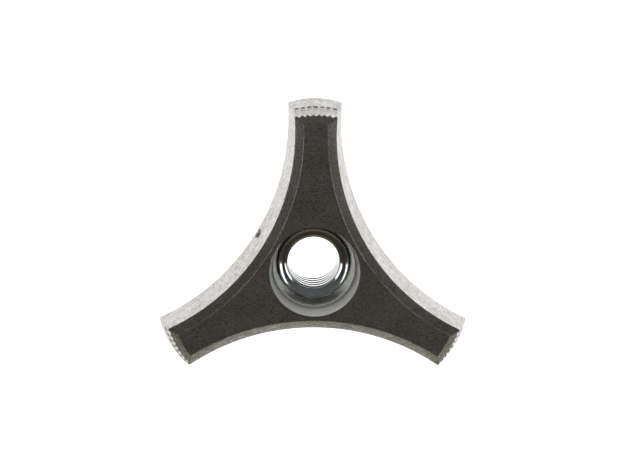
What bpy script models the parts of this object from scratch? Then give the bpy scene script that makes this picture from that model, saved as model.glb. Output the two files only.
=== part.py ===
"""A three-armed wing nut: a cast star-shaped body around a threaded steel bush.

Metres, +Z up. The origin is on the thread's axis, in the plane of the seat face at the back. +Z runs
along the axis to the open front face, and +Y runs along one of the three arms.
"""

import math
from types import SimpleNamespace

import bmesh
import bpy
from mathutils import Matrix

MM = 0.001
GAP = 0.3 * MM                      # clearance between the body and the bush

# Heights above the seat face
HEIGHT = 12.8 * MM                  # seat face to front face
ARM_DEPTH = 6.9 * MM                # front face to the back of the arms
ARM_BACK_Z = HEIGHT - ARM_DEPTH
BEVEL_WIDTH = 1.13 * MM             # flat bevel all round the front face
BEVEL_DROP = 0.85 * MM
BEVEL_Z = HEIGHT - BEVEL_DROP
SHOULDER_Z = 7.0 * MM               # floor of the counterbore, where the thread begins

# The star's outline, at the bevel's outer edge and at the back of the arms. Three large circles, with
# their centres between the arms, cut the concave sides; a smaller arc closes each arm's end.
FRONT = SimpleNamespace(centre=36.35 * MM, side_r=28.75 * MM, reach=20.9 * MM, end_r=12.0 * MM)
BACK = SimpleNamespace(centre=38.2 * MM, side_r=29.53 * MM, reach=22.1 * MM, end_r=11.0 * MM)
ARMS = 3
SIDE_STEPS = 12                     # straight steps from a throat to an arm's corner
BACK_CHAMFER = 0.35 * MM

# Grip flutes across each arm's end: they run back from the bevel and stop at a plain band
FLUTES = 7
FLUTE_STEPS = 4
FLUTE_DEPTH = 0.28 * MM
FLUTE_LENGTH = 2.65 * MM
FLUTE_RUNOUT = 0.3 * MM

# Boss behind the arms
BOSS_R = 7.5 * MM                   # at its root
SEAT_R = 7.2 * MM
SEAT_CHAMFER = 0.3 * MM
BOSS_FILLET = 0.8 * MM

# Bush
BUSH_R = 6.05 * MM
MOUTH_R = 5.9 * MM                  # counterbore at the front face
COUNTERBORE_R = 4.65 * MM           # counterbore at its floor
LIP = 0.12 * MM                     # rounded rim at the front
GROOVE_DEPTH = 0.6 * MM
GROOVE_Z = (5.2 * MM, 6.8 * MM)     # retaining groove that the casting's rib fills
KNURL_TEETH = 24
KNURL_DEPTH = 0.25 * MM
KNURL_Z = (0.8 * MM, 4.6 * MM)

# M8 x 1.25 thread, right-handed, in a 6.8 mm core hole
PITCH = 1.25 * MM
CORE_R = 3.4 * MM
MAJOR_R = 4.0 * MM
THREAD_CHAMFER = 0.15 * MM
ROOT_HALF_WIDTH = PITCH / 16
FLANK_SLOPE = math.tan(math.radians(30))

TURN_STEPS = 40                     # sides of every turned surface
OVERSHOOT = 1.0 * MM                # how far a cutter runs past the faces that it opens

COLOURS = {
    "wing_body": (0.46, 0.45, 0.44, 0.52, 0.9),
    "threaded_bush": (0.70, 0.72, 0.73, 0.22, 1.0),
}


def clear_scene():
    for obj in list(bpy.data.objects):
        bpy.data.objects.remove(obj, do_unlink=True)


def make_collection(name):
    collection = bpy.data.collections.new(name)
    bpy.context.scene.collection.children.link(collection)
    return collection


def make_material(name):
    red, green, blue, roughness, metallic = COLOURS[name]
    material = bpy.data.materials.new(name)
    material.use_nodes = True
    shader = material.node_tree.nodes["Principled BSDF"]
    shader.inputs["Base Color"].default_value = (red, green, blue, 1.0)
    shader.inputs["Roughness"].default_value = roughness
    shader.inputs["Metallic"].default_value = metallic
    return material


def make_object(name, mesh, collection):
    obj = bpy.data.objects.new(name, mesh)
    collection.objects.link(obj)
    return obj


def mark_as_cutter(obj):
    obj.hide_render = True
    obj.display_type = "WIRE"
    return obj


def add_boolean(obj, operation, other):
    modifier = obj.modifiers.new(operation.title() + "_" + other.name, "BOOLEAN")
    modifier.operation = operation
    modifier.solver = "EXACT"
    modifier.object = other


def add_screw(obj, turns=1, offset=0.0):
    modifier = obj.modifiers.new("Turn", "SCREW")
    modifier.axis = "Z"
    modifier.angle = math.tau
    modifier.iterations = turns
    modifier.screw_offset = offset
    modifier.steps = TURN_STEPS
    modifier.render_steps = TURN_STEPS
    modifier.use_merge_vertices = offset == 0.0
    modifier.merge_threshold = 0.00001


def profile_mesh(name, points, closed):
    """A chain of (radius, height) points in the XZ plane, at +X."""
    mesh = bpy.data.meshes.new(name)
    edges = [(i, i + 1) for i in range(len(points) - 1)]
    if closed:
        edges.append((len(points) - 1, 0))
    mesh.from_pydata([(r, 0.0, z) for r, z in points], edges, [])
    return mesh


def turned_object(name, points, collection, closed):
    obj = make_object(name, profile_mesh(name, points, closed), collection)
    add_screw(obj)
    return obj


def arc_points(centre, radius, start_deg, end_deg, steps):
    """Points of a round corner in a profile, both ends included."""
    points = []
    for i in range(steps + 1):
        angle = math.radians(start_deg + (end_deg - start_deg) * i / steps)
        points.append((centre[0] + radius * math.cos(angle), centre[1] + radius * math.sin(angle)))
    return points


# ---------------------------------------------------------------- body

def section_at(z):
    """The star's outline dimensions at height z, in proportion between the bevel and the back."""
    depth = max(0.0, BEVEL_Z - z) / (BEVEL_Z - ARM_BACK_Z)
    mix = {key: value + (getattr(BACK, key) - value) * depth for key, value in vars(FRONT).items()}
    return SimpleNamespace(**mix)


def inset_section(section, inset):
    """The same outline moved inwards by inset."""
    return SimpleNamespace(
        centre=section.centre,
        side_r=section.side_r + inset,
        reach=section.reach - inset,
        end_r=section.end_r - inset,
    )


def arm_corner(section):
    """Where the side circle meets the end arc, on the +X side of the +Y arm."""
    side_x = section.centre * math.cos(math.radians(30))
    side_y = section.centre * math.sin(math.radians(30))
    end_y = section.reach - section.end_r
    distance = math.hypot(side_x, side_y - end_y)
    along = (distance ** 2 + section.end_r ** 2 - section.side_r ** 2) / (2 * distance)
    across = math.sqrt(section.end_r ** 2 - along ** 2)
    ux, uy = side_x / distance, (side_y - end_y) / distance
    return along * ux - across * uy, end_y + along * uy + across * ux


def side_curve(section):
    """The +X side of the +Y arm, from the throat up to just before the corner."""
    corner_x, corner_y = arm_corner(section)
    side_x = section.centre * math.cos(math.radians(30))
    side_y = section.centre * math.sin(math.radians(30))
    start = math.radians(210)
    end = math.atan2(corner_y - side_y, corner_x - side_x)
    points = []
    for i in range(SIDE_STEPS):
        angle = start + (end - start) * i / SIDE_STEPS
        points.append((side_x + section.side_r * math.cos(angle), side_y + section.side_r * math.sin(angle)))
    return points


def end_curve(section, flute_depth):
    """The +Y arm's end, from its +X corner across to its -X corner, both included."""
    corner_x, corner_y = arm_corner(section)
    end_y = section.reach - section.end_r
    half_angle = math.atan2(corner_x, corner_y - end_y)
    steps = FLUTES * FLUTE_STEPS
    points = []
    for i in range(steps + 1):
        angle = half_angle * (1 - 2 * i / steps)
        radius = section.end_r - flute_depth * abs(math.sin(math.pi * i / FLUTE_STEPS))
        points.append((radius * math.sin(angle), end_y + radius * math.cos(angle)))
    return points


def star_outline(section, flute_depth):
    right = side_curve(section)
    left = [(-x, y) for x, y in reversed(right[1:])]
    third = right + end_curve(section, flute_depth) + left
    outline = []
    for arm in range(ARMS):
        turn = Matrix.Rotation(math.tau * arm / ARMS, 2)
        outline += [(turn[0][0] * x + turn[0][1] * y, turn[1][0] * x + turn[1][1] * y) for x, y in third]
    return outline


def body_levels():
    """(height, inset, flute depth) of each outline, from the front face to the back of the arms."""
    flute_end_z = BEVEL_Z - FLUTE_LENGTH
    return [
        (HEIGHT, BEVEL_WIDTH, 0.0),
        (BEVEL_Z, 0.0, FLUTE_DEPTH),
        (flute_end_z + FLUTE_RUNOUT, 0.0, FLUTE_DEPTH),
        (flute_end_z, 0.0, 0.0),
        (ARM_BACK_Z + BACK_CHAMFER, 0.0, 0.0),
        (ARM_BACK_Z, BACK_CHAMFER, 0.0),
    ]


def star_mesh(name):
    """The arms, as a loft through outlines that differ in size and in their flutes."""
    bm = bmesh.new()
    rings = []
    for z, inset, flute_depth in body_levels():
        outline = star_outline(inset_section(section_at(z), inset), flute_depth)
        rings.append([bm.verts.new((x, y, z)) for x, y in outline])
    for upper, lower in zip(rings, rings[1:]):
        for i in range(len(upper)):
            j = (i + 1) % len(upper)
            bm.faces.new((upper[i], lower[i], lower[j], upper[j]))
    bm.faces.new(rings[0])
    bm.faces.new(reversed(rings[-1]))
    mesh = bpy.data.meshes.new(name)
    bm.to_mesh(mesh)
    bm.free()
    return mesh


def boss_profile():
    """The boss's outer side, from inside the arms down to the seat face."""
    root = (BOSS_R + BOSS_FILLET, ARM_BACK_Z - BOSS_FILLET)
    points = [(0.0, ARM_BACK_Z + OVERSHOOT), (root[0], ARM_BACK_Z + OVERSHOOT)]
    points += arc_points(root, BOSS_FILLET, 90, 180, 4)
    points += [(SEAT_R, SEAT_CHAMFER), (SEAT_R - SEAT_CHAMFER, 0.0), (0.0, 0.0)]
    return points


def bore_profile():
    """The hole that holds the bush, with the rib that fills its retaining groove."""
    bore_r = BUSH_R + GAP
    rib_r = BUSH_R - GROOVE_DEPTH + GAP
    rib_low, rib_high = GROOVE_Z[0] + GAP, GROOVE_Z[1] - GAP
    return [
        (0.0, HEIGHT + OVERSHOOT),
        (bore_r, HEIGHT + OVERSHOOT),
        (bore_r, rib_high),
        (rib_r, rib_high),
        (rib_r, rib_low),
        (bore_r, rib_low),
        (bore_r, -OVERSHOOT),
        (0.0, -OVERSHOOT),
    ]


def make_body(parts, cutters):
    body = make_object("wing_body", star_mesh("wing_body"), parts)
    boss = turned_object("boss", boss_profile(), cutters, closed=False)
    bore = turned_object("bush_bore", bore_profile(), cutters, closed=False)
    add_boolean(body, "UNION", mark_as_cutter(boss))
    add_boolean(body, "DIFFERENCE", mark_as_cutter(bore))
    body.data.materials.append(make_material("wing_body"))


# ---------------------------------------------------------------- bush

def bush_profile():
    """A closed section: down the outer side, then up the bore and the counterbore."""
    outer = [
        (BUSH_R - LIP, HEIGHT),
        (BUSH_R, HEIGHT - LIP),
        (BUSH_R, GROOVE_Z[1]),
        (BUSH_R - GROOVE_DEPTH, GROOVE_Z[1]),
        (BUSH_R - GROOVE_DEPTH, GROOVE_Z[0]),
        (BUSH_R, GROOVE_Z[0]),
        (BUSH_R, LIP),
        (BUSH_R - LIP, 0.0),
    ]
    entry_r = MAJOR_R + 0.5 * LIP
    inner = [
        (entry_r, 0.0),
        (CORE_R, entry_r - CORE_R),
        (CORE_R, SHOULDER_Z - THREAD_CHAMFER - LIP),
        (CORE_R + THREAD_CHAMFER, SHOULDER_Z - LIP),
        (COUNTERBORE_R - LIP, SHOULDER_Z),
        (COUNTERBORE_R, SHOULDER_Z + LIP),
        (MOUTH_R - 3 * LIP, HEIGHT - 4 * LIP),
        (MOUTH_R - LIP, HEIGHT - LIP),
        (MOUTH_R, HEIGHT),
    ]
    return outer + inner


def knurl_cutter(cutters):
    """V-grooves around the sleeve, as square bars set on edge."""
    bm = bmesh.new()
    low, high = KNURL_Z
    bar_side = 2 * math.sqrt(2) * KNURL_DEPTH
    for tooth in range(KNURL_TEETH):
        turn = Matrix.Rotation(math.tau * (tooth + 0.5) / KNURL_TEETH, 4, "Z")
        place = Matrix.Translation((BUSH_R + KNURL_DEPTH, 0.0, (low + high) / 2))
        on_edge = Matrix.Rotation(math.radians(45), 4, "Z")
        size = Matrix.Diagonal((bar_side, bar_side, high - low, 1.0))
        bmesh.ops.create_cube(bm, size=1.0, matrix=turn @ place @ on_edge @ size)
    mesh = bpy.data.meshes.new("knurl_cutter")
    bm.to_mesh(mesh)
    bm.free()
    return mark_as_cutter(make_object("knurl_cutter", mesh, cutters))


def thread_cutter(cutters):
    """The thread's groove as one solid helix, run out past both ends of the core hole."""
    depth = MAJOR_R - CORE_R + 0.2 * MM
    foot_half_width = ROOT_HALF_WIDTH + FLANK_SLOPE * depth
    section = [
        (MAJOR_R, ROOT_HALF_WIDTH),
        (MAJOR_R, -ROOT_HALF_WIDTH),
        (MAJOR_R - depth, -foot_half_width),
        (MAJOR_R - depth, foot_half_width),
    ]
    turns = math.ceil((SHOULDER_Z + 2 * OVERSHOOT) / PITCH)
    guide = make_object("thread_section", profile_mesh("thread_section", section, closed=True), cutters)
    add_screw(guide, turns=turns, offset=PITCH)
    evaluated = guide.evaluated_get(bpy.context.evaluated_depsgraph_get())
    mesh = bpy.data.meshes.new_from_object(evaluated)
    bpy.data.objects.remove(guide)
    bm = bmesh.new()
    bm.from_mesh(mesh)
    bmesh.ops.holes_fill(bm, edges=[edge for edge in bm.edges if edge.is_boundary], sides=0)
    bmesh.ops.recalc_face_normals(bm, faces=bm.faces)
    bmesh.ops.translate(bm, verts=bm.verts, vec=(0.0, 0.0, -OVERSHOOT))
    bm.to_mesh(mesh)
    bm.free()
    return mark_as_cutter(make_object("thread_cutter", mesh, cutters))


def make_bush(parts, cutters):
    bush = turned_object("threaded_bush", bush_profile(), parts, closed=True)
    add_boolean(bush, "DIFFERENCE", knurl_cutter(cutters))
    add_boolean(bush, "DIFFERENCE", thread_cutter(cutters))
    bush.data.materials.append(make_material("threaded_bush"))


def main():
    clear_scene()
    parts = make_collection("wing_nut")
    cutters = make_collection("cutters")
    make_body(parts, cutters)
    make_bush(parts, cutters)


main()
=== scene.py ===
"""Looks for the three-armed wing nut: the cast body, the threaded bush, their materials and the studio."""

import math
from types import SimpleNamespace

import bpy
import numpy as np
from mathutils import Matrix, Vector


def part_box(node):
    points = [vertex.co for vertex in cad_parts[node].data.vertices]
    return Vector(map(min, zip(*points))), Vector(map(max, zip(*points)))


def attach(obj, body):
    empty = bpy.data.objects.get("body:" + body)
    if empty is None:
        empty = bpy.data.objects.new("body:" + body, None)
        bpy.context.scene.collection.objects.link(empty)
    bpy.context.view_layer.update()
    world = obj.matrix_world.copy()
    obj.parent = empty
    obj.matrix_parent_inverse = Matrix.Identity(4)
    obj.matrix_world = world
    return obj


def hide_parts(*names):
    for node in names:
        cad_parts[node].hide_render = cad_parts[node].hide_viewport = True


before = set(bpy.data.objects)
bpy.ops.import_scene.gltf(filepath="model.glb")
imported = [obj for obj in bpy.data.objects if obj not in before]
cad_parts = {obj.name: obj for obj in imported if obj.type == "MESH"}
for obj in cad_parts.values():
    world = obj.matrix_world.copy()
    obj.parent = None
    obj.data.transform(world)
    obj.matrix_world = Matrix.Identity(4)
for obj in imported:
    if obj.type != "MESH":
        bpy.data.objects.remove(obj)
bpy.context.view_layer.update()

MM = 0.001
BODY_NODE = "wing_body"
BUSH_NODE = "threaded_bush"

# ---- heights above the seat face ----
FRONT_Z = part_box(BODY_NODE)[1].z
ARM_BACK_Z = FRONT_Z - 6.9 * MM
BEVEL_WIDTH = 1.13 * MM              # flat bevel all round the front face
BEVEL_DROP = 0.85 * MM
BEVEL_Z = FRONT_Z - BEVEL_DROP
BEVEL_RISE = BEVEL_DROP / BEVEL_WIDTH
SHOULDER_Z = 7.0 * MM

# ---- the star's outline, at the bevel's outer edge and at the back of the arms ----
FRONT = SimpleNamespace(centre=36.35 * MM, side_r=28.75 * MM, reach=20.9 * MM, end_r=12.0 * MM)
BACK = SimpleNamespace(centre=38.2 * MM, side_r=29.53 * MM, reach=22.1 * MM, end_r=11.0 * MM)
ARMS = 3
CORNER_R = 0.3 * MM
BEVEL_CORNER_R = 0.08 * MM
INNER_EDGE_R = 0.22 * MM             # where the front face turns into the bevel
OUTER_EDGE_R = 0.16 * MM             # where the bevel turns into the wall
BACK_EDGE_R = 0.45 * MM
DRAFT = 0.19                         # the wall's outward lean, about the same all round
SIDE_STEPS = 56
CORNER_STEPS = 5

FLUTES = 7
FLUTE_STEPS = 12
FLUTE_DEPTH = 0.22 * MM
FLUTE_FOOT_Z = BEVEL_Z - 2.65 * MM
FLUTE_RUNOUT = 0.48 * MM

# ---- the casting hole in the wall at the left of the front view ----
PIT_PLACE = Vector((-7.38, 4.05, 7.42)) * MM
PIT_SIZE = Vector((0.52, 0.85, 0.95)) * MM
PIT_DEPTH = 0.30 * MM

# ---- boss and bush ----
BOSS_R = 7.5 * MM
SEAT_R = 7.15 * MM
SEAT_EDGE_R = 0.35 * MM
BOSS_FILLET = 0.8 * MM
BUSH_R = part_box(BUSH_NODE)[1].x
BUSH_RIM_R = 0.05 * MM
BUSH_END_R = 0.15 * MM
SEAM = 0.02 * MM                     # between the casting and the bush
MOUTH_R = 5.92 * MM
MOUTH_EDGE_R = 0.05 * MM
WAIST_R = 5.45 * MM                  # where the counterbore's wall turns in towards the shoulder
WAIST_Z = SHOULDER_Z + 1.9 * MM
WAIST_FILLET = 1.2 * MM
SHOULDER_PROFILE = (                 # radius and slope in degrees, from the thread's mouth out to the wall
    (3.46, 22.0), (3.77, 20.0), (3.86, 7.0), (3.95, 7.5), (4.05, 10.0), (4.15, 12.5),
    (4.25, 15.0), (4.35, 17.0), (4.45, 19.0), (4.55, 21.0),
)
SHOULDER_EDGE_R = 0.07 * MM          # where the shoulder turns down into the thread
SHOULDER_ROOT_R = 0.12 * MM          # where it meets the counterbore's wall
PITCH = 1.25 * MM
CORE_R = 3.4 * MM
MAJOR_R = 4.0 * MM
ENTRY_R = MAJOR_R + 0.1 * MM         # the thread's countersink in the seat face
THREAD_START = 0.2                   # height of the groove at +X, as a share of the pitch

# ---- the counterbore's colours above the shoulder: a painted dark reflection on the -Y side, grey elsewhere ----
PAINTED_DARK_REFLECTION = (0.036, 0.033, 0.025)
LOW_WALL_GREY = (0.24, 0.24, 0.225)

# ---- studio ----
FLOOR_GLOW = 1.25
FLOOR_FAR_GLOW = 0.35
FLOOR_BRIGHT_R = 0.055
FLOOR_SOFT_R = 0.20
DARK_ROOM = (0.042, 0.033, 0.026)
KHAKI_WALL = (0.225, 0.210, 0.120)
TEAL_CEILING = (0.104, 0.118, 0.115)
WARM_WALL = (0.100, 0.091, 0.078)
STRIP_DISTANCE = 1.5
STRIP_SIZE = (0.60, 0.32)
STRIP_ELEVATION = 55.0
STRIP_RADIANCE = 2.2
STRIP_AZIMUTHS = {"strip_right": 0.0, "strip_left": 180.0}
FLOOR_LEAN = (0.88, 1.10)            # glow on the -X and the +X side, as shares of the middle's
FLOOR_LEAN_X = 0.06
FLOOR_HALF_WIDTH = 2.5
CAMERA_ROLL = -0.2
CAMERA_ASIDE = 1.6
CAMERA_TILT = 12.0
CAMERA_OFFSET = Vector((0.31 * MM, -5.04 * MM, -515.0 * MM))
CAMERA_LENS = 226.9


# ---------------------------------------------------------------- shapes

def section_at(z):
    """The star's outline at height z, in proportion between the bevel and the back of the arms."""
    depth = max(0.0, BEVEL_Z - z) / (BEVEL_Z - ARM_BACK_Z)
    return SimpleNamespace(**{k: v + (getattr(BACK, k) - v) * depth for k, v in vars(FRONT).items()})


def inset_section(section, inset):
    return SimpleNamespace(
        centre=section.centre,
        side_r=section.side_r + inset,
        reach=section.reach - inset,
        end_r=section.end_r - inset,
    )


def side_centre(section):
    return section.centre * math.cos(math.radians(30)), section.centre * math.sin(math.radians(30))


def arm_corner(section):
    """Where the side circle meets the end arc, on the +X side of the +Y arm."""
    side_x, side_y = side_centre(section)
    end_y = section.reach - section.end_r
    distance = math.hypot(side_x, side_y - end_y)
    along = (distance ** 2 + section.end_r ** 2 - section.side_r ** 2) / (2 * distance)
    across = math.sqrt(section.end_r ** 2 - along ** 2)
    ux, uy = side_x / distance, (side_y - end_y) / distance
    return along * ux - across * uy, end_y + along * uy + across * ux


def arc(centre, radius, start, end, steps):
    """Points along an arc, without its last one."""
    angles = start + (end - start) * np.arange(steps) / steps
    return np.c_[centre[0] + radius * np.cos(angles), centre[1] + radius * np.sin(angles)]


def third_outline(section, corner_r, flute_depth):
    """One third of the star's outline, counter-clockwise from throat to throat, without its last point.

    Each row is x, y and how deep the flute is there.
    """
    side = side_centre(section)
    end_centre = (0.0, section.reach - section.end_r)
    round_centre = arm_corner(inset_section(section, corner_r))
    start = math.radians(210)
    to_side = math.atan2(round_centre[1] - side[1], round_centre[0] - side[0]) % math.tau
    from_side = math.atan2(side[1] - round_centre[1], side[0] - round_centre[0])
    to_end = math.atan2(round_centre[1] - end_centre[1], round_centre[0] - end_centre[0])
    right = arc(side, section.side_r, start, to_side, SIDE_STEPS)
    corner = arc(round_centre, corner_r, from_side, to_end, CORNER_STEPS)
    half = np.vstack([right, corner])
    steps = FLUTES * FLUTE_STEPS
    index = np.arange(steps + 1)
    angles = to_end + (math.pi - 2 * to_end) * index / steps
    depths = flute_depth * np.abs(np.sin(math.pi * index / FLUTE_STEPS))
    radii = section.end_r - depths
    end = np.c_[radii * np.cos(angles), end_centre[1] + radii * np.sin(angles), depths]
    half = np.c_[half, np.zeros(len(half))]
    mirrored = half[1:][::-1] * (-1.0, 1.0, 1.0)
    return np.vstack([half, end, mirrored])


def star_ring(z, inset=0.0, flute_depth=0.0, corner_r=CORNER_R, flute_rise=0.0):
    """The outline at height z. A flute that cuts the bevel lifts the edge by flute_rise times its depth."""
    third = third_outline(inset_section(section_at(z), inset), corner_r, flute_depth)
    rings = []
    for arm in range(ARMS):
        angle = math.tau * arm / ARMS
        turn = np.array([[math.cos(angle), -math.sin(angle)], [math.sin(angle), math.cos(angle)]])
        rings.append(np.c_[third[:, :2] @ turn.T, z + flute_rise * third[:, 2]])
    return np.vstack(rings)


def circle_ring(like, radius, z):
    """A ring of the same points as like, moved along their radii onto a circle."""
    angle = np.arctan2(like[:, 1], like[:, 0])
    return np.c_[radius * np.cos(angle), radius * np.sin(angle), np.full(len(like), z)]


def even_circle(like, radius, z):
    """A ring with evenly spread points, which starts at the same angle as like."""
    start = math.atan2(like[0, 1], like[0, 0])
    angle = start + math.tau * np.arange(len(like)) / len(like)
    return np.c_[radius * np.cos(angle), radius * np.sin(angle), np.full(len(like), z)]


def mesh_from_rings(name, rings):
    """A closed skin through rings of equal length, whose last ring joins the first."""
    count = len(rings[0])
    vertices = np.vstack(rings)
    upper = np.arange(len(rings))[:, None] * count
    lower = np.roll(upper, -1, axis=0)
    here = np.arange(count)[None, :]
    there = (here + 1) % count
    quads = np.stack([upper + here, lower + here, lower + there, upper + there], axis=-1).reshape(-1, 4)
    mesh = bpy.data.meshes.new(name)
    mesh.from_pydata(vertices.tolist(), [], quads.tolist())
    mesh.update()
    mesh.shade_smooth()
    obj = bpy.data.objects.new(name, mesh)
    bpy.context.scene.collection.objects.link(obj)
    return obj


def fillet(corner, before, after, radius, steps):
    """Points that round a profile's corner between its two neighbours."""
    corner, before, after = (Vector(p) for p in (corner, before, after))
    u, v = (before - corner).normalized(), (after - corner).normalized()
    half = u.angle(v) / 2
    reach = radius / math.tan(half)
    centre = corner + (u + v).normalized() * (radius / math.sin(half))
    start = (corner + u * reach - centre).normalized()
    end = (corner + v * reach - centre).normalized()
    return [tuple(centre + start.slerp(end, step / steps) * radius) for step in range(steps + 1)]


def front_face_rings():
    """From the bush's rim out over the flat front face, to where it turns into the bevel."""
    edge = star_ring(FRONT_Z, BEVEL_WIDTH + INNER_EDGE_R, corner_r=BEVEL_CORNER_R)
    rim = circle_ring(edge, BUSH_R + SEAM, FRONT_Z)
    steps = 40
    rings = [circle_ring(edge, BUSH_R + SEAM, FRONT_Z - 0.05 * MM), rim, rim + (edge - rim) * 0.004]
    return rings + [rim + (edge - rim) * (step / steps) for step in range(1, steps)]


def bevel_rings():
    """The soft turn into the bevel, the flat bevel, and its soft outer edge that the flutes notch."""
    face = (-BEVEL_WIDTH - 1.0 * MM, FRONT_Z)
    inner = (-BEVEL_WIDTH, FRONT_Z)
    outer = (0.0, BEVEL_Z)
    wall = (DRAFT * MM, BEVEL_Z - 1.0 * MM)
    inner_turn = fillet(inner, face, outer, INNER_EDGE_R, 5)
    rings = [star_ring(z, -x, corner_r=BEVEL_CORNER_R) for x, z in inner_turn]
    for share in (0.55, 0.42, 0.30):
        corner_r = BEVEL_CORNER_R + (CORNER_R - BEVEL_CORNER_R) * (1 - share)
        rings.append(star_ring(BEVEL_Z + BEVEL_DROP * share, BEVEL_WIDTH * share, corner_r=corner_r))
    for x, z in fillet(outer, inner, wall, OUTER_EDGE_R, 5):
        lean = DRAFT * max(0.0, BEVEL_Z - z)
        rings.append(star_ring(z, lean - x, FLUTE_DEPTH, flute_rise=BEVEL_RISE))
    return rings


def wall_rings():
    """The drafted wall with its flutes and their feet, and the rounded back edge."""
    rings = []
    for z in np.linspace(BEVEL_Z - 0.3 * MM, FLUTE_FOOT_Z + FLUTE_RUNOUT, 10):
        rings.append(star_ring(z, 0.0, FLUTE_DEPTH))
    for step in range(1, 7):
        angle = math.radians(90 * step / 6)
        z = FLUTE_FOOT_Z + FLUTE_RUNOUT * (1 - math.sin(angle))
        rings.append(star_ring(z, 0.0, FLUTE_DEPTH * math.cos(angle)))
    for z in np.linspace(FLUTE_FOOT_Z, ARM_BACK_Z + BACK_EDGE_R, 14)[1:]:
        rings.append(star_ring(z))
    for step in range(1, 7):
        angle = math.radians(90 * step / 6)
        z = ARM_BACK_Z + BACK_EDGE_R * (1 - math.sin(angle))
        rings.append(star_ring(z, BACK_EDGE_R * (1 - math.cos(angle))))
    return rings


def back_rings(edge):
    """The back of the arms, the fillet, the boss and the seat face, ending at the bush."""
    root_r = BOSS_R + BOSS_FILLET
    circle = circle_ring(edge, root_r, ARM_BACK_Z)
    even = even_circle(edge, root_r, ARM_BACK_Z)
    rings = []
    steps = 34
    for step in range(1, steps + 1):
        rings.append(edge + (circle - edge) * (step / steps))
    for step in range(1, 7):
        angle = math.radians(90 * step / 6)
        radius = root_r - BOSS_FILLET * math.sin(angle)
        z = ARM_BACK_Z - BOSS_FILLET * (1 - math.cos(angle))
        mix = step / 6
        rings.append(mix * even_circle(edge, radius, z) + (1 - mix) * circle_ring(edge, radius, z))
    foot_z = ARM_BACK_Z - BOSS_FILLET
    for share in np.linspace(0, 1, 13)[1:]:
        z = foot_z + (SEAT_EDGE_R - foot_z) * share
        rings.append(even_circle(even, BOSS_R + (SEAT_R - BOSS_R) * share, z))
    for step in range(1, 6):
        angle = math.radians(90 * step / 5)
        radius = SEAT_R - SEAT_EDGE_R * (1 - math.cos(angle))
        rings.append(even_circle(even, radius, SEAT_EDGE_R * (1 - math.sin(angle))))
    for radius in (SEAT_R - 1.6 * SEAT_EDGE_R, BUSH_R + SEAM + 0.05 * MM, BUSH_R + SEAM):
        rings.append(even_circle(even, radius, 0.05 * MM if radius == BUSH_R + SEAM else 0.0))
    return rings


def press_pit(rings):
    """The wall's rings with the casting hole pressed in towards the axis."""
    for points in rings:
        away = np.linalg.norm((points - np.array(PIT_PLACE)) / np.array(PIT_SIZE), axis=1)
        depth = PIT_DEPTH * np.clip(1.0 - away ** 2, 0.0, None)
        inwards = -points[:, :2] / np.linalg.norm(points[:, :2], axis=1)[:, None]
        points[:, :2] += inwards * depth[:, None]
    return rings


def make_body():
    wall = wall_rings()
    rings = front_face_rings() + bevel_rings() + press_pit(wall) + back_rings(wall[-1])
    return mesh_from_rings("cast_body", rings)


def bore_radius(angle, z):
    """Radius of the open space at each angle: the wider of the thread's groove and its countersink."""
    phase = (z / PITCH - angle / math.tau - THREAD_START + 0.5) % 1.0
    from_root = np.abs(phase - 0.5) * PITCH
    flank = MAJOR_R - (from_root - PITCH / 16) / math.tan(math.radians(30))
    thread = np.clip(flank, CORE_R, MAJOR_R)
    return np.maximum(thread, ENTRY_R - z)


def rounded_profile(corners, steps=6):
    """A chain of points through corners, each a point and its radius, or 0 for a sharp one."""
    points = [point for point, _ in corners]
    profile = [points[0]]
    for before, (corner, radius), after in zip(points, corners[1:], points[2:]):
        profile += fillet(corner, before, after, radius, steps) if radius else [corner]
    profile.append(points[-1])
    return profile


def dished_shoulder():
    """The shoulder's profile from the thread's mouth out to the counterbore's wall."""
    radii, tilts = np.array(SHOULDER_PROFILE).T
    radii = radii * MM
    slopes = np.tan(np.radians(tilts))
    rises = np.append(0.0, np.cumsum(np.diff(radii) * (slopes[1:] + slopes[:-1]) / 2))
    return list(zip(radii, SHOULDER_Z + rises - rises[-1]))


def make_bush():
    turns = 192
    angles = math.tau * np.arange(turns) / turns
    shoulder = dished_shoulder()
    throat_r, thread_top = shoulder[0]
    throat_z = thread_top - SHOULDER_EDGE_R - 0.05 * MM
    run_out_z = throat_z - 0.25 * MM

    def ring(radius, z):
        radius = np.broadcast_to(radius, angles.shape)
        return np.c_[radius * np.cos(angles), radius * np.sin(angles), np.full(turns, z)]

    rings = [ring(bore_radius(angles, z), z) for z in np.linspace(0.0, run_out_z, 160)]
    groove = bore_radius(angles, run_out_z)
    for share in (0.3, 0.6, 0.85):
        rings.append(ring(groove + (throat_r - groove) * share, run_out_z + (throat_z - run_out_z) * share))
    profile = rounded_profile([
        ((throat_r, throat_z), 0),
        (shoulder[0], SHOULDER_EDGE_R),
        *((point, 0) for point in shoulder[1:-1]),
        (shoulder[-1], SHOULDER_ROOT_R),
        ((WAIST_R, WAIST_Z), WAIST_FILLET),
        ((MOUTH_R, FRONT_Z), MOUTH_EDGE_R),
        ((BUSH_R, FRONT_Z), BUSH_RIM_R),
        ((BUSH_R, 0.0), BUSH_END_R),
        ((ENTRY_R, 0.0), 0),
    ])
    for (r0, z0), (r1, z1) in zip(profile, profile[1:]):
        pieces = max(1, int(math.hypot(r1 - r0, z1 - z0) / (0.25 * MM)))
        rings += [ring(r0 + (r1 - r0) * i / pieces, z0 + (z1 - z0) * i / pieces) for i in range(pieces)]
    return mesh_from_rings("steel_bush", rings)


# ---------------------------------------------------------------- materials

def node_maker(material):
    tree = material.node_tree

    def add(kind, inputs=None, **settings):
        node = tree.nodes.new(kind)
        for key, value in settings.items():
            setattr(node, key, value)
        for key, value in (inputs or {}).items():
            if isinstance(value, bpy.types.NodeSocket):
                tree.links.new(value, node.inputs[key])
            else:
                node.inputs[key].default_value = value
        return node

    return add


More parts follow.
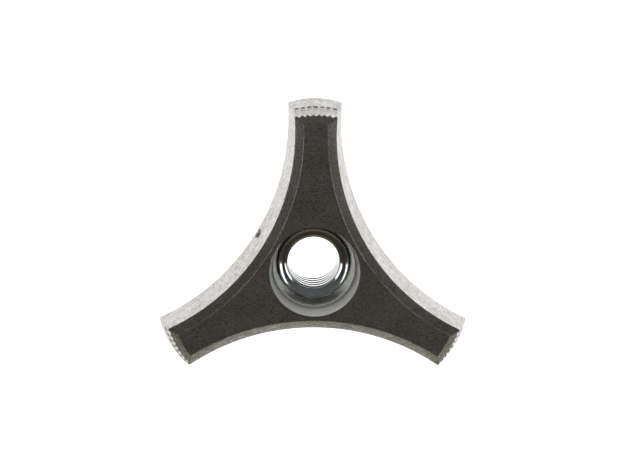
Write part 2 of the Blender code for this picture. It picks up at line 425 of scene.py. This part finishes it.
def new_material(name):
    material = bpy.data.materials.new(name)
    material.use_nodes = True
    material.node_tree.nodes.clear()
    return material, node_maker(material)


def ramp(add, fac, stops):
    node = add("ShaderNodeValToRGB", {"Fac": fac})
    elements = node.color_ramp.elements
    while len(elements) < len(stops):
        elements.new(0.5)
    for element, (position, colour) in zip(elements, stops):
        element.position = position
        element.color = (*colour, 1.0) if len(colour) == 3 else (colour[0], colour[0], colour[0], 1.0)
    return node.outputs["Color"]


def smooth_step(add, value, low, high):
    inputs = {"Value": value, "From Min": low, "From Max": high}
    return add("ShaderNodeMapRange", inputs, interpolation_type="SMOOTHSTEP").outputs["Result"]


def calculate(add, operation, *values):
    return add("ShaderNodeMath", dict(enumerate(values)), operation=operation).outputs[0]


def shade(add, inputs):
    """The shader with these inputs, and the material's output after it."""
    shader = add("ShaderNodeBsdfPrincipled", inputs)
    add("ShaderNodeOutputMaterial", {"Surface": shader.outputs[0]})


def mix_colour(add, factor, first, second, blend="MIX"):
    """The colour sockets of a Mix node share their names with others, so they go by position."""
    node = add("ShaderNodeMix", {0: factor, 6: first, 7: second}, data_type="RGBA", blend_type=blend)
    return node.outputs[2]


def cast_metal():
    """Bare grit-blasted casting: silvery, matt and grainy, with small dark pits."""
    material, add = new_material("blasted_casting")
    place = add("ShaderNodeTexCoord").outputs["Object"]
    grit = add("ShaderNodeTexNoise", {"Vector": place, "Scale": 4200.0, "Detail": 3.0, "Roughness": 0.6})
    blotch = add("ShaderNodeTexNoise", {"Vector": place, "Scale": 1300.0, "Detail": 4.0, "Roughness": 0.7})
    cloud = add("ShaderNodeTexNoise", {"Vector": place, "Scale": 260.0, "Detail": 3.0, "Roughness": 0.55})
    dimples = add("ShaderNodeTexVoronoi", {"Vector": place, "Scale": 3000.0}, feature="SMOOTH_F1")
    tone = ramp(
        add,
        blotch.outputs["Fac"],
        [(0.30, (0.40, 0.385, 0.37)), (0.50, (0.53, 0.52, 0.505)), (0.70, (0.62, 0.615, 0.605))],
    )
    grime = ramp(add, cloud.outputs["Fac"], [(0.35, (0.86, 0.84, 0.81)), (0.60, (1.0, 1.0, 1.0))])
    pits = ramp(add, grit.outputs["Fac"], [(0.34, (0.50,)), (0.50, (1.0,))])
    grainy = mix_colour(add, 1.0, mix_colour(add, 1.0, tone, grime, "MULTIPLY"), pits, "MULTIPLY")
    # The casting hole and its ragged rim are coloured near-black.
    from_pit = add("ShaderNodeVectorMath", {0: place, 1: PIT_PLACE}, operation="SUBTRACT")
    pit_share = add("ShaderNodeVectorMath", {0: from_pit.outputs[0], 1: PIT_SIZE}, operation="DIVIDE")
    pit_reach = add("ShaderNodeVectorMath", {0: pit_share.outputs[0]}, operation="LENGTH")
    ragged = calculate(add, "ADD", blotch.outputs["Fac"], pit_reach.outputs["Value"])
    hole_darkening = smooth_step(add, ragged, 1.5, 1.1)
    colour = mix_colour(add, hole_darkening, grainy, (0.03, 0.03, 0.028, 1.0))
    rough = ramp(add, blotch.outputs["Fac"], [(0.3, (0.42,)), (0.7, (0.30,))])
    fine = calculate(add, "ADD", grit.outputs["Fac"], dimples.outputs["Distance"])
    bump = add("ShaderNodeBump", {"Strength": 0.6, "Distance": 0.00003, "Height": fine})
    coarse = add(
        "ShaderNodeBump",
        {"Strength": 0.6, "Distance": 0.00006, "Height": blotch.outputs["Fac"], "Normal": bump.outputs[0]},
    )
    shade(add, {"Base Color": colour, "Roughness": rough, "Metallic": 1.0, "Normal": coarse.outputs[0]})
    return material


def bright_steel():
    """Turned steel with a bright, slightly blue zinc plate, its thread whitened with a painted reflection of
    the light table.

    The counterbore keeps its tool marks, and a painted dark reflection in brown above the shoulder on the -Y
    side.
    """
    material, add = new_material("zinc_plated_steel")
    place = add("ShaderNodeTexCoord").outputs["Object"]
    xyz = add("ShaderNodeSeparateXYZ", {"Vector": place})
    flat = add("ShaderNodeCombineXYZ", {"X": xyz.outputs["X"], "Y": xyz.outputs["Y"]})
    radius = add("ShaderNodeVectorMath", {0: flat.outputs[0]}, operation="LENGTH")
    track = calculate(add, "ADD", radius.outputs["Value"], xyz.outputs["Z"])
    rings = add("ShaderNodeTexNoise", {"W": track, "Scale": 9000.0, "Detail": 2.0}, noise_dimensions="1D")
    cloud = add("ShaderNodeTexNoise", {"Vector": place, "Scale": 700.0, "Detail": 3.0})
    height = xyz.outputs["Z"]
    plate = ramp(add, cloud.outputs["Fac"], [(0.35, (0.60, 0.64, 0.65)), (0.65, (0.72, 0.75, 0.755))])
    # Below the shoulder the plated thread is whitened almost to white: a painted reflection of the light
    # table seen through the bore.
    painted_thread_reflection = smooth_step(add, height, SHOULDER_Z - 0.4 * MM, SHOULDER_Z - 0.7 * MM)
    bright = mix_colour(add, painted_thread_reflection, plate, (0.93, 0.94, 0.94, 1.0))
    dull = smooth_step(add, height, SHOULDER_Z + 0.10 * MM, SHOULDER_Z + 0.28 * MM)
    brown_end = smooth_step(add, height, SHOULDER_Z + 1.2 * MM, SHOULDER_Z + 2.4 * MM)
    band = add("ShaderNodeTexNoise", {"W": height, "Scale": 1500.0, "Detail": 1.0}, noise_dimensions="1D")
    turned_tone = ramp(add, band.outputs["Fac"], [(0.35, (0.33, 0.335, 0.315)), (0.65, (0.40, 0.405, 0.385))])
    # Low in the counterbore the -Y side carries a painted dark reflection in brown; the other sides are plain
    # grey.
    aside = smooth_step(add, xyz.outputs["Y"], -4.4 * MM, -2.4 * MM)
    low_wall_with_painted_reflection = mix_colour(add, aside, (*PAINTED_DARK_REFLECTION, 1.0), (*LOW_WALL_GREY, 1.0))
    wall = mix_colour(add, brown_end, low_wall_with_painted_reflection, turned_tone)
    tone = mix_colour(add, dull, bright, wall)
    turned = smooth_step(add, height, SHOULDER_Z + 1.2 * MM, SHOULDER_Z + 2.3 * MM)
    wander = calculate(add, "MULTIPLY", cloud.outputs["Fac"], 0.05)
    rough = add("ShaderNodeMapRange", {"Value": turned, "To Min": 0.07, "To Max": 0.36})
    corner_start = smooth_step(add, height, SHOULDER_Z - 0.03 * MM, SHOULDER_Z + 0.02 * MM)
    corner_end = smooth_step(add, height, SHOULDER_Z + 0.22 * MM, SHOULDER_Z + 0.14 * MM)
    corner = calculate(add, "MULTIPLY", corner_start, corner_end)
    torn = calculate(add, "MULTIPLY_ADD", corner, 0.45, wander)
    rough_sum = calculate(add, "ADD", rough.outputs["Result"], torn)
    bump = add("ShaderNodeBump", {"Strength": 0.3, "Distance": 0.00001, "Height": rings.outputs["Fac"]})
    shade(add, {"Base Color": tone, "Roughness": rough_sum, "Metallic": 1.0, "Normal": bump.outputs[0]})
    return material


def floor_material():
    """A white light table, evenly bright around the nut and softer further out."""
    material, add = new_material("light_table")
    place = add("ShaderNodeTexCoord").outputs["Object"]
    distance = add("ShaderNodeVectorMath", {0: place}, operation="LENGTH")
    reach = smooth_step(add, distance.outputs["Value"], FLOOR_BRIGHT_R, FLOOR_SOFT_R)
    even = add("ShaderNodeMapRange", {"Value": reach, "To Min": FLOOR_GLOW, "To Max": FLOOR_FAR_GLOW})
    across = add("ShaderNodeSeparateXYZ", {"Vector": place}).outputs["X"]
    lean = add("ShaderNodeMapRange", {
        "Value": across,
        "From Min": -FLOOR_LEAN_X,
        "From Max": FLOOR_LEAN_X,
        "To Min": FLOOR_LEAN[0],
        "To Max": FLOOR_LEAN[1],
    })
    strength = calculate(add, "MULTIPLY", even.outputs["Result"], lean.outputs["Result"])
    shade(add, {
        "Base Color": (0.8, 0.8, 0.8, 1.0),
        "Roughness": 0.9,
        "Emission Color": (1.0, 1.0, 1.0, 1.0),
        "Emission Strength": strength,
    })
    return material


# ---------------------------------------------------------------- studio

def make_floor():
    half = FLOOR_HALF_WIDTH
    corners = [(-half, -half, 0), (half, -half, 0), (half, half, 0), (-half, half, 0)]
    mesh = bpy.data.meshes.new("floor")
    mesh.from_pydata(corners, [], [(0, 1, 2, 3)])
    floor = bpy.data.objects.new("floor", mesh)
    bpy.context.scene.collection.objects.link(floor)
    mesh.materials.append(floor_material())


def make_world():
    """A dim, warm room: a khaki wall on the -Y side, a brown one on the +Y side, and a cooler ceiling."""
    world = bpy.data.worlds.new("studio")
    bpy.context.scene.world = world
    world.use_nodes = True
    world.node_tree.nodes.clear()
    add = node_maker(world)
    direction = add("ShaderNodeTexCoord").outputs["Generated"]
    xyz = add("ShaderNodeSeparateXYZ", {"Vector": direction})
    low = smooth_step(add, xyz.outputs["Z"], 0.85, 0.45)
    towards = calculate(add, "MULTIPLY", xyz.outputs["Y"], -1.0)
    side = smooth_step(add, towards, 0.15, 0.85)
    share = calculate(add, "MULTIPLY", low, side)
    sky = mix_colour(add, share, (*DARK_ROOM, 1.0), (*KHAKI_WALL, 1.0))
    behind = smooth_step(add, xyz.outputs["Y"], -0.10, 0.08)
    above = smooth_step(add, xyz.outputs["Z"], 0.72, 0.90)
    ceiling = calculate(add, "MULTIPLY", behind, above)
    sky = mix_colour(add, ceiling, sky, (*TEAL_CEILING, 1.0))
    far = smooth_step(add, xyz.outputs["Y"], 0.64, 0.86)
    sky = mix_colour(add, far, sky, (*WARM_WALL, 1.0))
    background = add("ShaderNodeBackground", {"Color": sky, "Strength": 1.0})
    add("ShaderNodeOutputWorld", {"Surface": background.outputs[0]})


def make_strip_light(name, azimuth):
    """A long soft box beside the nut, wide along Y, aimed at the bush."""
    data = bpy.data.lights.new(name, "AREA")
    data.shape = "RECTANGLE"
    data.size, data.size_y = STRIP_SIZE
    data.energy = STRIP_RADIANCE * math.pi * STRIP_SIZE[0] * STRIP_SIZE[1]
    light = bpy.data.objects.new(name, data)
    rise, turn = math.radians(STRIP_ELEVATION), math.radians(azimuth)
    towards = Vector((math.cos(rise) * math.cos(turn), math.cos(rise) * math.sin(turn), math.sin(rise)))
    aim = towards.to_track_quat("Z", "Y").to_matrix().to_4x4()
    light.matrix_world = Matrix.Translation(towards * STRIP_DISTANCE) @ aim
    bpy.context.scene.collection.objects.link(light)


def make_camera():
    """A long lens, a little off the nut's axis towards the +Y arm."""
    turn = (
        Matrix.Rotation(math.radians(CAMERA_ROLL), 3, "Z")
        @ Matrix.Rotation(math.radians(CAMERA_ASIDE), 3, "Y")
        @ Matrix.Rotation(math.radians(CAMERA_TILT), 3, "X")
    )
    place = -(turn.transposed() @ CAMERA_OFFSET) + Vector((0, 0, FRONT_Z))
    data = bpy.data.cameras.new("camera")
    data.sensor_width = 36.0
    data.lens = CAMERA_LENS
    camera = bpy.data.objects.new("camera", data)
    camera.matrix_world = Matrix.Translation(place) @ turn.transposed().to_4x4()
    bpy.context.scene.collection.objects.link(camera)
    bpy.context.scene.camera = camera


def main():
    bpy.context.scene.view_settings.view_transform = "Standard"
    body = make_body()
    body.data.materials.append(cast_metal())
    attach(body, "root")
    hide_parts(BODY_NODE)
    bush = make_bush()
    bush.data.materials.append(bright_steel())
    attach(bush, "root")
    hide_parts(BUSH_NODE)
    make_floor()
    make_world()
    for name, azimuth in STRIP_AZIMUTHS.items():
        make_strip_light(name, azimuth)
    make_camera()


main()
